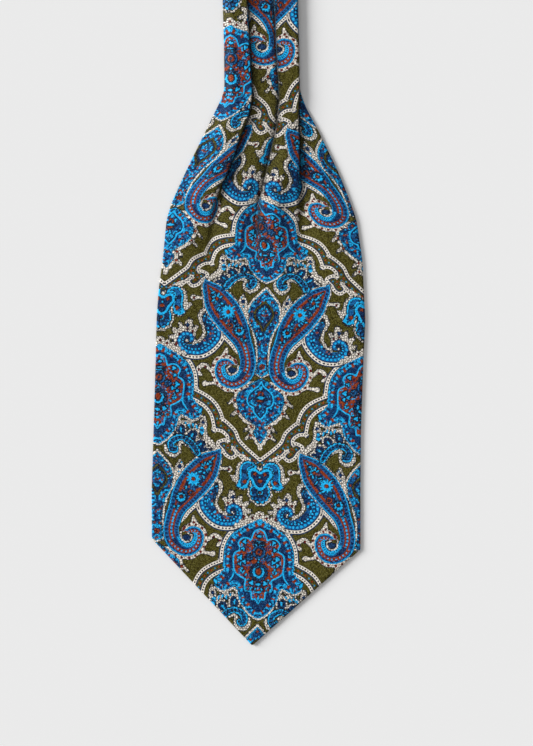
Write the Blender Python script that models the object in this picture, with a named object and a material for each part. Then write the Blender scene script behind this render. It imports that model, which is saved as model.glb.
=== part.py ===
"""Silk day cravat laid flat: two pointed ends joined at the centre back of a pleated neckband.

Each end is a face panel and a back panel. The face is one wall of cloth whose cross-section is worked out
station by station from the point to the centre-back seam: three knife pleats lie pressed in the neckband,
open through the fan and fade into the flat blade. The cravat lies along Y on z = 0, face up.
"""

import math

import bpy
import numpy as np

MM = 0.001

# Driving dimensions, in millimetres.
END_LENGTH = 600.0  # from the centre-back seam to the point of one end
SEAM_GAP = 0.3  # between the two ends at the centre-back seam
LAYER_GAP = 0.35  # between the back and the face that lies on it
FACE_WALL = 1.0
BACK_WALL = 1.0
BACK_INSET = 0.8  # the face rolls this far past the back at its edges
POINT_X = -4.6  # the point lies a little to the left of the middle
LEFT_CORNER = (-77.3, 77.5)  # where the left edge turns to the point: x, and distance from the point
RIGHT_CORNER = (74.2, 70.0)
TIP_STUB = 6.0  # the last section lies this far from the point, and the cloth closes to the point from there
SOFTEN = 4.0  # half the length along the cloth over which the tables below are smoothed


def by_column(names, *rows):
    """Rows of numbers as one array for each named column."""
    return dict(zip(names, np.array(rows, float).T))


# The two long edges of the face at rising distances from the point. From 405 up, the right edge is the
# hidden one, which lies folded under the right strip.
EDGES = by_column(
    ("from_point", "left", "right"),
    (0, -77.3, 74.2),
    (113, -77.8, 74.2),
    (157, -76.4, 74.6),
    (208, -74.9, 76.4),
    (238, -74.2, 77.8),
    (260, -72.7, 76.6),
    (281, -69.8, 75.7),
    (296, -68.3, 73.5),
    (311, -66.9, 71.3),
    (325, -62.5, 66.2),
    (333, -58.8, 63.2),
    (347, -52.3, 57.4),
    (362, -45, 50.1),
    (377, -37.6, 42.8),
    (392, -30.3, 34.7),
    (401, -26, 31.3),
    (406, -24.6, 29.9),
    (437, -24.9, 29.3),
    (472, -26, 28.6),
    (600, -27.5, 26.9),
)

# Each pleat by distance from the point: where its folded edge lies, the angle that the cloth turns through
# (180 is pressed flat on itself), the length that runs back underneath, and the radius of the bend.
LEFT_PLEAT = by_column(
    ("from_point", "fold", "turn", "run", "bend"),
    (0, -42, 2.5, 0.5, 35),
    (200, -42, 2.5, 0.5, 35),
    (250, -42, 6, 0.5, 16),
    (285, -38, 16, 0.5, 7),
    (305, -35, 38, 0.5, 3),
    (320, -32, 70, 0.5, 1.9),
    (332, -28.1, 110, 0.5, 1.3),
    (340, -24.6, 140, 0.6, 1.15),
    (347, -20.9, 165, 1, 1),
    (358, -17.2, 180, 2, 0.88),
    (370, -13.1, 180, 3.5, 0.76),
    (384, -7.4, 180, 6, 0.7),
    (393, -4.8, 180, 7.5, 0.68),
    (403, -4, 180, 8.5, 0.68),
    (426, -5.3, 180, 8.5, 0.68),
    (472, -7.9, 180, 8.5, 0.68),
    (600, -9.5, 180, 8.5, 0.68),
)
MIDDLE_PLEAT = by_column(
    ("from_point", "fold", "turn", "run", "bend"),
    (0, 4, 2.5, 0.5, 35),
    (200, 4, 2.5, 0.5, 35),
    (250, 4, 6, 0.5, 16),
    (275, 3, 14, 0.5, 9),
    (290, 1, 28, 0.5, 5),
    (303, -1.2, 52, 0.5, 3),
    (318, -0.4, 90, 0.5, 1.7),
    (327, 0.9, 130, 0.6, 1.3),
    (334, 2.6, 160, 1, 1.15),
    (341, 3.7, 175, 1.8, 1.1),
    (349, 5.9, 180, 2.8, 1),
    (358, 7.7, 180, 3.6, 0.88),
    (366, 9.6, 180, 4.2, 0.78),
    (378, 12.6, 180, 4.6, 0.7),
    (387, 13.5, 180, 4.8, 0.68),
    (396, 14.6, 180, 5, 0.68),
    (406, 14.2, 180, 5, 0.68),
    (429, 12.9, 180, 5, 0.68),
    (472, 10.7, 180, 5, 0.68),
    (600, 9.5, 180, 5, 0.68),
)
RIGHT_PLEAT = by_column(
    ("from_point", "fold", "turn", "run", "bend"),
    (0, 28, 2.5, 0.5, 35),
    (200, 28, 2.5, 0.5, 35),
    (250, 28, 6, 0.5, 16),
    (290, 28.5, 16, 0.5, 7),
    (305, 29, 34, 0.5, 3.2),
    (318, 29.3, 58, 0.5, 2.1),
    (330, 29.7, 90, 0.5, 1.5),
    (340, 30.1, 120, 0.5, 1.2),
    (350, 30.4, 150, 0.8, 1),
    (361, 30.6, 175, 1.4, 0.88),
    (372, 30.3, 180, 2.4, 0.76),
    (385, 29.6, 180, 3.8, 0.7),
    (395, 29.8, 180, 4.6, 0.68),
    (406, 30.6, 180, 5, 0.68),
    (437, 30, 180, 5, 0.68),
    (472, 29.2, 180, 5, 0.68),
    (600, 27.5, 180, 5, 0.68),
)

# How far the cloth between the pleats puffs up, and how much of the left strip's width it takes to rise
# from the flat edge to the top of its pleat.
PUFF = by_column(
    ("from_point", "left", "middle", "right", "fan", "rise"),
    (0, 0, 0, 0, 0, 1),
    (240, 0.2, 0.2, 0.2, 0.3, 1),
    (270, 0.5, 0.6, 0.6, 0.6, 1),
    (290, 0.8, 1.3, 1.2, 1, 1),
    (303, 0.9, 1.8, 1.6, 1.3, 1),
    (318, 0.9, 1.9, 1.7, 1.6, 1),
    (332, 0.8, 1.6, 1.4, 1.7, 1),
    (345, 0.7, 1.2, 1.1, 1.6, 0.95),
    (360, 0.5, 0.7, 0.7, 1.2, 0.82),
    (378, 0.2, 0.3, 0.3, 0.7, 0.6),
    (395, 0, 0, 0, 0.2, 0.42),
    (410, 0, 0, 0, 0, 0.34),
    (600, 0, 0, 0, 0, 0.36),
)

# Distances from the point of the sections that make the panels.
STATIONS = (
    TIP_STUB, 20, 45, RIGHT_CORNER[1], LEFT_CORNER[1], 110, 155, 200, 238, 262, 281, 296, 308, 318, 328, 337,
    346, 355, 364, 373, 382, 390, 397, 402, 407, 416, 437, 472, 535, END_LENGTH - SEAM_GAP / 2,
)
BEND_STEPS = 4  # flats round one bend of a pleat
STRIP_STEPS = {"left": 6, "middle": 6, "right": 5, "fan": 6}
SPREAD = 5  # readings that one smoothed value is the mean of


def read(table, name, from_point):
    """The table's value at a distance from the point: straight lines between its rows, averaged a little."""
    places = from_point + np.linspace(-SOFTEN, SOFTEN, SPREAD)
    return float(np.mean(np.interp(places, table["from_point"], table[name])))


def point_edges(from_point):
    """Where the two straight edges of the point lie."""
    left = POINT_X + (LEFT_CORNER[0] - POINT_X) * from_point / LEFT_CORNER[1]
    right = POINT_X + (RIGHT_CORNER[0] - POINT_X) * from_point / RIGHT_CORNER[1]
    return left, right


def pleat(table, from_point, facing):
    """The pleat's mid-line as (x, height) rows from its upper end: an arc down, a run back underneath, and an
    arc back to level at height 0. Its folded edge faces +X where facing is 1, and -X where it is -1."""
    turn = math.radians(read(table, "turn", from_point))
    run = read(table, "run", from_point)
    bend = read(table, "bend", from_point)
    angles = turn * np.arange(BEND_STEPS + 1) / BEND_STEPS
    arc = np.column_stack([bend * np.sin(angles), -bend * (1 - np.cos(angles))])
    lower = arc[-1] + run * np.array([math.cos(turn), -math.sin(turn)])
    # The lower arc is the upper one turned half round, so that the cloth ends level again.
    shape = np.vstack([arc, lower + (arc[-1] - arc[::-1])])
    shape[:, 0] *= facing
    reach = (bend + FACE_WALL / 2) * math.sin(min(turn, math.pi / 2))
    upper_end = read(table, "fold", from_point) - facing * reach
    return shape + (upper_end, -shape[-1, 1])


def strip(start, end, steps, puff, rise=None):
    """Points of the cloth between two pleats: a smooth rise from one level to the other, with a soft crown."""
    share = np.arange(steps + 1) / steps
    climb = share if rise is None else np.minimum(share / rise, 1.0)
    climb = climb * climb * (3 - 2 * climb)
    across = start[0] + (end[0] - start[0]) * share
    height = start[1] + (end[1] - start[1]) * climb + puff * np.sin(math.pi * share) ** 2
    return np.column_stack([across, height])


def section(from_point):
    """The mid-line of the face at one station, from its left edge to its right edge, as (x, height) rows."""
    left_pleat = pleat(LEFT_PLEAT, from_point, 1)
    middle_pleat = pleat(MIDDLE_PLEAT, from_point, -1)[::-1]
    right_pleat = pleat(RIGHT_PLEAT, from_point, 1)
    edge_left = (read(EDGES, "left", from_point), 0.0)
    edge_right = (read(EDGES, "right", from_point), 0.0)
    puff = {name: read(PUFF, name, from_point) for name in ("left", "middle", "right", "fan", "rise")}
    rows = [
        strip(edge_left, left_pleat[0], STRIP_STEPS["left"], puff["left"], puff["rise"])[:-1],
        left_pleat,
        strip(left_pleat[-1], middle_pleat[0], STRIP_STEPS["middle"], puff["middle"])[1:-1],
        middle_pleat,
        strip(middle_pleat[-1], right_pleat[0], STRIP_STEPS["right"], puff["right"])[1:-1],
        right_pleat,
        strip(right_pleat[-1], edge_right, STRIP_STEPS["fan"], puff["fan"])[1:],
    ]
    line = np.vstack(rows)
    # Below the corners the whole section is squeezed between the straight edges of the point, and flattens.
    point_left, point_right = point_edges(from_point)
    left = max(edge_left[0], point_left)
    right = min(edge_right[0], point_right)
    squeeze = (right - left) / (edge_right[0] - edge_left[0])
    line[:, 0] = left + (line[:, 0] - edge_left[0]) * squeeze
    line[:, 1] *= squeeze ** 2
    return line


def wall_sides(line, wall):
    """The two faces of a wall round its mid-line, moved out along the bisector at each corner of the line."""
    ahead = np.diff(line, axis=0)
    ahead /= np.linalg.norm(ahead, axis=1)[:, None]
    before, after = np.vstack([ahead[:1], ahead]), np.vstack([ahead, ahead[-1:]])
    along = before + after
    along /= np.linalg.norm(along, axis=1)[:, None]
    half_wall = wall / 2 / np.sum(along * after, axis=1)[:, None]
    normal = np.column_stack([-along[:, 1], along[:, 0]])
    return line + normal * half_wall, line - normal * half_wall


def placed(points, from_point, base):
    """Section rows as (x, y, z) in metres, for an end whose point lies towards -Y."""
    y = np.full(len(points), from_point - END_LENGTH)
    return np.column_stack([points[:, 0], y, points[:, 1] + base]) * MM


def closed_wall(name, upper, lower, tip_upper, tip_lower):
    """One closed mesh from matching rows of upper and lower points that run from the point to the seam."""
    rows, columns = len(upper), len(upper[0])
    points = np.vstack([*upper, *lower, [tip_upper], [tip_lower]])
    grid = np.arange(rows * columns).reshape(rows, columns)
    under = grid + rows * columns
    tip = 2 * rows * columns
    quads = [
        (grid[:-1, :-1], grid[:-1, 1:], grid[1:, 1:], grid[1:, :-1]),
        (under[:-1, :-1], under[1:, :-1], under[1:, 1:], under[:-1, 1:]),
        (grid[:-1, 0], grid[1:, 0], under[1:, 0], under[:-1, 0]),
        (grid[:-1, -1], under[:-1, -1], under[1:, -1], grid[1:, -1]),
        (grid[-1, :-1], grid[-1, 1:], under[-1, 1:], under[-1, :-1]),
    ]
    faces = [corners for sides in quads for corners in np.stack([s.ravel() for s in sides], axis=1).tolist()]
    faces += [(tip, int(b), int(a)) for a, b in zip(grid[0, :-1], grid[0, 1:])]
    faces += [(tip + 1, int(a), int(b)) for a, b in zip(under[0, :-1], under[0, 1:])]
    faces.append((tip, int(grid[0, 0]), int(under[0, 0]), tip + 1))
    faces.append((tip, tip + 1, int(under[0, -1]), int(grid[0, -1])))
    mesh = bpy.data.meshes.new(name)
    mesh.from_pydata(points.tolist(), [], faces)
    mesh.validate()
    mesh.shade_smooth()
    mesh.set_sharp_from_angle(angle=math.radians(50))
    return mesh


def face_mesh():
    """The pleated face panel of one end."""
    base = BACK_WALL + LAYER_GAP + FACE_WALL / 2
    upper, lower = [], []
    for from_point in STATIONS:
        top, bottom = wall_sides(section(from_point), FACE_WALL)
        upper.append(placed(top, from_point, base))
        lower.append(placed(bottom, from_point, base))
    tip = np.array([[POINT_X, FACE_WALL / 2], [POINT_X, -FACE_WALL / 2]])
    tip = placed(tip, 0.0, base)
    return closed_wall("face_panel", upper, lower, tip[0], tip[1])


def back_mesh():
    """The flat back panel of one end, a little inside the face's outline."""
    upper, lower = [], []
    for from_point in STATIONS:
        line = section(from_point)[:, 0]
        ends = np.linspace(line.min() + BACK_INSET, line.max() - BACK_INSET, 3)
        upper.append(placed(np.column_stack([ends, np.full(3, BACK_WALL)]), from_point, 0.0))
        lower.append(placed(np.column_stack([ends, np.zeros(3)]), from_point, 0.0))
    tip = placed(np.array([[POINT_X, BACK_WALL], [POINT_X, 0.0]]), BACK_INSET, 0.0)
    return closed_wall("back_panel", upper, lower, tip[0], tip[1])


def silk(name, colour, roughness):
    """Printed silk twill: not metallic, with the soft gloss of its filament yarn."""
    material = bpy.data.materials.new(name)
    material.use_nodes = True
    shader = material.node_tree.nodes["Principled BSDF"]
    shader.inputs["Base Color"].default_value = (*colour, 1.0)
    shader.inputs["Roughness"].default_value = roughness
    shader.inputs["Metallic"].default_value = 0.0
    return material


def place(name, mesh, half_turn, colour):
    """One panel as an object: the front end as modelled, the rear end turned half round about Z."""
    panel = bpy.data.objects.new(name, mesh.copy())
    panel.rotation_euler.z = math.pi if half_turn else 0.0
    panel.data.materials.append(silk(name + "_silk", colour, 0.45))
    bpy.context.scene.collection.objects.link(panel)


def main():
    for old in list(bpy.data.objects):
        bpy.data.objects.remove(old, do_unlink=True)
    face, back = face_mesh(), back_mesh()
    for end, half_turn in (("front_end", False), ("rear_end", True)):
        place(end + "_face", face, half_turn, (0.055, 0.110, 0.150))
        place(end + "_back", back, half_turn, (0.060, 0.090, 0.100))
    bpy.data.meshes.remove(face)
    bpy.data.meshes.remove(back)


main()
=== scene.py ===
"""Silk day cravat laid flat on a pale table: two pointed, pleated ends of printed silk twill.

Lengths are in millimetres until a mesh is made, and Blender's own are in metres. A place on the cloth is
given as across (to the right) and from_point (up from the point of the end it belongs to).
"""

import math

import bpy
import numpy as np
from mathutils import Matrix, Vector


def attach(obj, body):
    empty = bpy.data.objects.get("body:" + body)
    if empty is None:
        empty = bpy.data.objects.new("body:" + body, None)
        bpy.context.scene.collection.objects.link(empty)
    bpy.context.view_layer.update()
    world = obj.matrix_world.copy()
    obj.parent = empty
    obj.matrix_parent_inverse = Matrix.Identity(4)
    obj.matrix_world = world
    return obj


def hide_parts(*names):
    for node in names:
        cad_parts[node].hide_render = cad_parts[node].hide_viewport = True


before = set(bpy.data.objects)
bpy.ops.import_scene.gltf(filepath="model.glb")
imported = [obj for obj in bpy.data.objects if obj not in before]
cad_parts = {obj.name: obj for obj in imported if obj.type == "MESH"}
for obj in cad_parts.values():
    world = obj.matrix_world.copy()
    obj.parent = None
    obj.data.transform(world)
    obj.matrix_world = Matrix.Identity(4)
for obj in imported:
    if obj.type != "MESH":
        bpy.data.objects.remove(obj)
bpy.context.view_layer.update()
MM = 0.001

# --- The table, the light and the camera -----------------------------------------------------------------
# A pale matt table top seen from straight above. One large soft lamp stands to the upper left, so the cravat
# has a soft shadow down its right side, and a white room fills in the rest.
CAMERA_HEIGHT = 1.5  # metres
CAMERA_SIGHT = (5.85, -401.2)  # the spot under the camera: across, and along from the centre-back seam
SHOWN_WIDTH = 389.6  # of the table, from the left edge of the view to the right
SENSOR = 36.0


def linear(colour):
    """The linear red, green and blue of an sRGB hex colour: the standard curve with its straight dark end."""
    shares = [int(colour[i:i + 2], 16) / 255 for i in (1, 3, 5)]
    return tuple(s / 12.92 if s <= 0.04045 else ((s + 0.055) / 1.055) ** 2.4 for s in shares)


def new_material(name):
    """A material with one Principled shader, and that shader."""
    material = bpy.data.materials.new(name)
    material.use_nodes = True
    return material, material.node_tree.nodes["Principled BSDF"]


def put(name, data):
    """An object of the data at the origin, linked to the scene."""
    thing = bpy.data.objects.new(name, data)
    bpy.context.scene.collection.objects.link(thing)
    return thing


def new_mesh(name, points, faces, material):
    """An object at the origin whose mesh is made from points in millimetres."""
    mesh = bpy.data.meshes.new(name)
    mesh.from_pydata((np.asarray(points) * MM).tolist(), [], faces)
    mesh.materials.append(material)
    return put(name, mesh)


table_top, table_shader = new_material("matt white table top")
table_shader.inputs["Base Color"].default_value = (*linear("#f3f3f3"), 1)
table_shader.inputs["Roughness"].default_value = 0.9
table_shader.inputs["Specular IOR Level"].default_value = 0.15
TABLE_HALF = 3000
table_corners = [(x, y, 0) for x, y in ((-1, -1), (1, -1), (1, 1), (-1, 1))]
table = new_mesh("table", np.array(table_corners) * TABLE_HALF, [(0, 1, 2, 3)], table_top)

camera_data = bpy.data.cameras.new("camera")
camera_data.sensor_fit = "HORIZONTAL"
camera_data.sensor_width = SENSOR
camera_data.lens = SENSOR * CAMERA_HEIGHT / (SHOWN_WIDTH * MM)
camera_data.clip_end = 20
camera = put("camera", camera_data)
camera.location = (CAMERA_SIGHT[0] * MM, CAMERA_SIGHT[1] * MM, CAMERA_HEIGHT)
bpy.context.scene.camera = camera

LAMP_FROM = Vector((-1.0, 0.38, 0.43))  # the direction of the lamp: low, so that every fold shows
lamp_data = bpy.data.lights.new("soft lamp", "SUN")
lamp_data.angle = math.radians(26)
lamp_data.energy = 4.5
lamp = put("soft lamp", lamp_data)
lamp.rotation_euler = LAMP_FROM.to_track_quat("Z", "Y").to_euler()

room = bpy.data.worlds.new("white room")
room.use_nodes = True
room_light = room.node_tree.nodes["Background"].inputs
room_light["Color"].default_value = (1, 1, 1, 1)
room_light["Strength"].default_value = 0.385
bpy.context.scene.world = room
bpy.context.scene.view_settings.view_transform = "Standard"

# --- The face panels' form -------------------------------------------------------------------------------
# Each end's face is one length of silk, laid in three knife pleats that are pressed flat in the neckband,
# open through the fan and die away in the flat blade. These tables are the solids' own.
END_LENGTH = 600.0  # from the centre-back seam to the point of one end
SEAM_GAP = 0.3
LAYER_GAP = 0.35
SOLID_WALL = 1.0
POINT_X = -4.6
LEFT_CORNER = (-77.3, 77.5)
RIGHT_CORNER = (74.2, 70.0)
SOFTEN = 4.0  # a table's values are averaged over this far on either side, at SPREAD places
SPREAD = 5


def by_column(names, *rows):
    """Rows of numbers as one array for each named column."""
    return dict(zip(names.split(), np.array(rows, float).T))


EDGES = by_column(
    "from_point left right",
    (0, -77.3, 74.2), (113, -77.8, 74.2), (157, -76.4, 74.6), (208, -74.9, 76.4), (238, -74.2, 77.8),
    (260, -72.7, 76.6), (281, -69.8, 75.7), (296, -68.3, 73.5), (311, -66.9, 71.3), (325, -62.5, 66.2),
    (333, -58.8, 63.2), (347, -52.3, 57.4), (362, -45, 50.1), (377, -37.6, 42.8), (392, -30.3, 34.7),
    (401, -26, 31.3), (406, -24.6, 29.9), (437, -24.9, 29.3), (472, -26, 28.6), (600, -27.5, 26.9),
)
LEFT_PLEAT = by_column(
    "from_point fold turn run bend",
    (0, -42, 2.5, 0.5, 35), (200, -42, 2.5, 0.5, 35), (250, -42, 6, 0.5, 16), (285, -38, 16, 0.5, 7),
    (305, -35, 38, 0.5, 3), (320, -32, 70, 0.5, 1.9), (332, -28.1, 110, 0.5, 1.3),
    (340, -24.6, 140, 0.6, 1.15), (347, -20.9, 165, 1, 1), (358, -17.2, 180, 2, 0.88),
    (370, -13.1, 180, 3.5, 0.76), (384, -7.4, 180, 6, 0.7), (393, -4.8, 180, 7.5, 0.68),
    (403, -4, 180, 8.5, 0.68), (426, -5.3, 180, 8.5, 0.68), (472, -7.9, 180, 8.5, 0.68),
    (600, -9.5, 180, 8.5, 0.68),
)
MIDDLE_PLEAT = by_column(
    "from_point fold turn run bend",
    (0, 4, 2.5, 0.5, 35), (200, 4, 2.5, 0.5, 35), (250, 4, 6, 0.5, 16), (275, 3, 14, 0.5, 9),
    (290, 1, 28, 0.5, 5), (303, -1.2, 52, 0.5, 3), (318, -0.4, 90, 0.5, 1.7), (327, 0.9, 130, 0.6, 1.3),
    (334, 2.6, 160, 1, 1.15), (341, 3.7, 175, 1.8, 1.1), (349, 5.9, 180, 2.8, 1), (358, 7.7, 180, 3.6, 0.88),
    (366, 9.6, 180, 4.2, 0.78), (378, 12.6, 180, 4.6, 0.7), (387, 13.5, 180, 4.8, 0.68),
    (396, 14.6, 180, 5, 0.68), (406, 14.2, 180, 5, 0.68), (429, 12.9, 180, 5, 0.68),
    (472, 10.7, 180, 5, 0.68), (600, 9.5, 180, 5, 0.68),
)
RIGHT_PLEAT = by_column(
    "from_point fold turn run bend",
    (0, 28, 2.5, 0.5, 35), (200, 28, 2.5, 0.5, 35), (250, 28, 6, 0.5, 16), (290, 28.5, 16, 0.5, 7),
    (305, 29, 34, 0.5, 3.2), (318, 29.3, 58, 0.5, 2.1), (330, 29.7, 90, 0.5, 1.5), (340, 30.1, 120, 0.5, 1.2),
    (350, 30.4, 150, 0.8, 1), (361, 30.6, 175, 1.4, 0.88), (372, 30.3, 180, 2.4, 0.76),
    (385, 29.6, 180, 3.8, 0.7), (395, 29.8, 180, 4.6, 0.68), (406, 30.6, 180, 5, 0.68),
    (437, 30, 180, 5, 0.68), (472, 29.2, 180, 5, 0.68), (600, 27.5, 180, 5, 0.68),
)
PUFF = by_column(
    "from_point left middle right fan rise",
    (0, 0, 0, 0, 0, 1), (240, 0.2, 0.2, 0.2, 0.3, 1), (270, 0.5, 0.6, 0.6, 0.6, 1),
    (290, 0.8, 1.3, 1.2, 1, 1), (303, 0.9, 1.8, 1.6, 1.3, 1), (318, 0.9, 1.9, 1.7, 1.6, 1),
    (332, 0.8, 1.6, 1.4, 1.7, 1), (345, 0.7, 1.2, 1.1, 1.6, 0.95), (360, 0.5, 0.7, 0.7, 1.2, 0.82),
    (378, 0.2, 0.3, 0.3, 0.7, 0.6), (395, 0, 0, 0, 0.2, 0.42), (410, 0, 0, 0, 0, 0.34),
    (600, 0, 0, 0, 0, 0.36),
)
# How far to the right of the print's own axis each strip of cloth lies. The strips' shifts part company
# where the pleats swallow the cloth between them.
PRINT_SHIFT = by_column(
    "from_point left middle right fan",
    (0, -0.9, -0.9, -0.9, -0.9), (20, -0.6, -0.6, -0.6, -0.6), (54, 0, 0, 0, 0), (90, 0.9, 0.9, 0.9, 0.9),
    (144, 1.2, 1.2, 1.2, 1.2), (176, 1.2, 1.2, 1.2, 1.2), (207, 2.8, 2.8, 2.8, 2.8),
    (241, 3.9, 3.9, 3.9, 3.9), (262, 6, 6, 6, 6), (275, 7.4, 7, 6, 5.6), (293, 9.5, 8.6, 3.8, 2.6),
    (311, 11, 9.6, 0.3, -2), (334, 20, 12.5, -8.7, -11), (377, 45.6, 23.6, -8.4, -28.8),
    (406, 55.1, 26.2, -7, -40), (437, 54.8, 24.3, -7.6, -42), (472, 53.7, 22.4, -8.4, -43),
    (600, 52.2, 20.8, -10.1, -44.5),
)
# How far the pleats draw the print down towards the point, at each strip's middle.
PRINT_DRAW = by_column(
    "from_point left middle right fan",
    (0, 0, 0, 0, 0), (221, 1, 1, 1, 1), (264, 0.5, 2.6, 2.6, 1), (291, 0.6, 11, 11, 2), (320, 4.5, 12, 12, 6),
    (340, 8, 12, 12, 9), (383, 12.8, 12.4, 12.4, 12), (398, 16, 13.3, 13.3, 12), (410, 17.5, 13.5, 13.5, 12),
    (600, 17.5, 13.5, 13.5, 12),
)
STRIPS = ("left", "middle", "right", "fan")


def read(columns, name, from_point):
    """A column's value at each distance from the point: straight lines between rows, averaged a little."""
    places = from_point[:, None] + np.linspace(-SOFTEN, SOFTEN, SPREAD)
    return np.interp(places, columns["from_point"], columns[name]).mean(axis=1)[:, None]


def pleat(columns, from_point, facing, steps):
    """A pleat's mid-line at each station, as across and height: an arc down through the turn, a run back
    underneath, and the same arc turned half round, which ends level at height 0."""
    turn = np.radians(read(columns, "turn", from_point))
    run, bend = read(columns, "run", from_point), read(columns, "bend", from_point)
    angles = turn * np.arange(steps + 1) / steps
    arc_x, arc_h = bend * np.sin(angles), bend * (np.cos(angles) - 1)
    lower_x, lower_h = arc_x[:, -1:] + run * np.cos(turn), arc_h[:, -1:] - run * np.sin(turn)
    across = np.hstack([arc_x, lower_x + arc_x[:, -1:] - arc_x[:, ::-1]]) * facing
    height = np.hstack([arc_h, lower_h + arc_h[:, -1:] - arc_h[:, ::-1]])
    reach = (bend + SOLID_WALL / 2) * np.sin(np.minimum(turn, math.pi / 2))
    return across + read(columns, "fold", from_point) - facing * reach, height - height[:, -1:]


def strip(start, end, share, puff, rise=1.0):
    """The cloth between two pleats: a smooth climb (3s^2 - 2s^3) from one level to the next, with a crown
    of puff times the squared sine of half a turn."""
    climb = np.minimum(share / rise, 1.0)
    across = start[0] + (end[0] - start[0]) * share
    height = start[1] + (end[1] - start[1]) * climb * climb * (3 - 2 * climb)
    return across, height + puff * np.sin(math.pi * share) ** 2


def even(count):
    """Shares from 0 to 1 in even steps."""
    return np.linspace(0, 1, count + 1)[None]


# Creases that the pleats leave in the opened cloth: where each starts and ends, how deep it is (a ridge is
# negative) and how wide from its middle to where it has faded by two thirds.
CREASES = by_column(
    "x0 from0 x1 from1 depth width",
    (-26, 338, -36, 302, 1.5, 2.2),
    (-36, 304, -45, 262, 0.6, 3.6),
    (-19, 346, -29, 305, -0.6, 3.2),
    (2.5, 336, -1.5, 301, 1.6, 2.2),
    (-1.5, 312, 2.5, 284, 1.1, 2.4),
    (5, 284, 12, 256, 0.5, 3.8),
    (12, 340, 10, 296, -0.5, 3.6),
    (30.5, 348, 31.5, 312, 1.2, 2),
    (31.5, 314, 37, 278, 0.6, 3.4),
    (38, 352, 50, 308, 0.5, 2.6),
    (22, 345, 19, 300, 0.45, 2.8),
    (-44, 340, -57, 300, 0.4, 3.4),
    (-10, 352, -14, 312, 0.45, 2.4),
)
OVERRUN = 1.35  # a crease fades out this many times its half length from its middle


def creased(across, from_point, spread=1.0):
    """How far the creases press each place down: for each, depth times a bell across its line, times a bump
    (1 - s^2)^2 along it, where s is -1 and 1 where it has faded out. spread widens the bells."""
    press = np.zeros_like(across)
    for x0, from0, x1, from1, depth, width in zip(*CREASES.values()):
        line = np.array([x1 - x0, from1 - from0])
        length = np.hypot(*line)
        along = ((across - x0) * line[0] + (from_point - from0) * line[1]) / length
        beside = ((across - x0) * line[1] - (from_point - from0) * line[0]) / length
        place = np.clip((2 * along / length - 1) / OVERRUN, -1, 1)
        press += depth * np.exp(-(beside / width / spread) ** 2) * (1 - place ** 2) ** 2
    return press


# Painted shade darkens the silk along each fold, where the cloth turns under: over a line on the fold itself,
# wider where the fold turns to the lamp, and over SHADE_WIDTH on either side of it where the fan opens.
FOLDS = ((LEFT_PLEAT, 1, 1.1), (MIDDLE_PLEAT, -1, 2.0), (RIGHT_PLEAT, 1, 1.1))
SHADE_WIDTH = 4.5
FAN_AT, FAN_REACH = 355, 32  # where along the cravat the fan opens, and how far from there its shade fades
FULL_TURN = 110  # a fold turned this many degrees under is as dark as it gets
LINE_SHADE = 0.9  # on the fold itself
BESIDE_SHADE, OPEN_SHADE = 0.12, 0.45  # on the cloth that it lies on: all along, and more where the fan opens
OWN_SHADE = 0.28  # on its own cloth, where the fan opens


def painted_fold_shade(across, from_point):
    """How much painted shade each place gets, from 0 to 1: a narrow bell across each fold and a wide one,
    weaker on the fold's own side, both by the square of how far the fold is turned under."""
    dark = np.zeros_like(across)
    fan = np.exp(-((from_point[:, None] - FAN_AT) / FAN_REACH) ** 2)
    for columns, facing, line_width in FOLDS:
        turned = np.clip(read(columns, "turn", from_point) / FULL_TURN, 0, 1) ** 2
        gap = (across - read(columns, "fold", from_point)) * facing
        depth = np.where(gap > 0, BESIDE_SHADE + OPEN_SHADE * fan, OWN_SHADE * fan)
        wide = np.exp(-(gap / SHADE_WIDTH) ** 2) * depth
        dark = np.maximum(dark, turned * np.maximum(np.exp(-(gap / line_width) ** 2) * LINE_SHADE, wide))
    return dark


ROLL_WIDTH = 1.5  # the edges are turned over the seam allowance, so they round off over this width
ROLL_DROP = 0.75
ROLLED = np.array([[0, 0.004, 0.012, 0.025]])  # columns set close together where the edge rolls over
MARGIN = 0.04  # the share of the outer strips that they stand in
SLANTS = (0.73, 0.66)  # the cosines of the angles at which the point's left and right edges lean
# Painted shade in the deepest creases:
SHALLOW = 0.55  # creases no deeper than this aren't dark
CREASE_SHADE = 0.75
CREASE_SPREAD = 1.6  # the shade in a crease is this many times as wide as the crease


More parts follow.
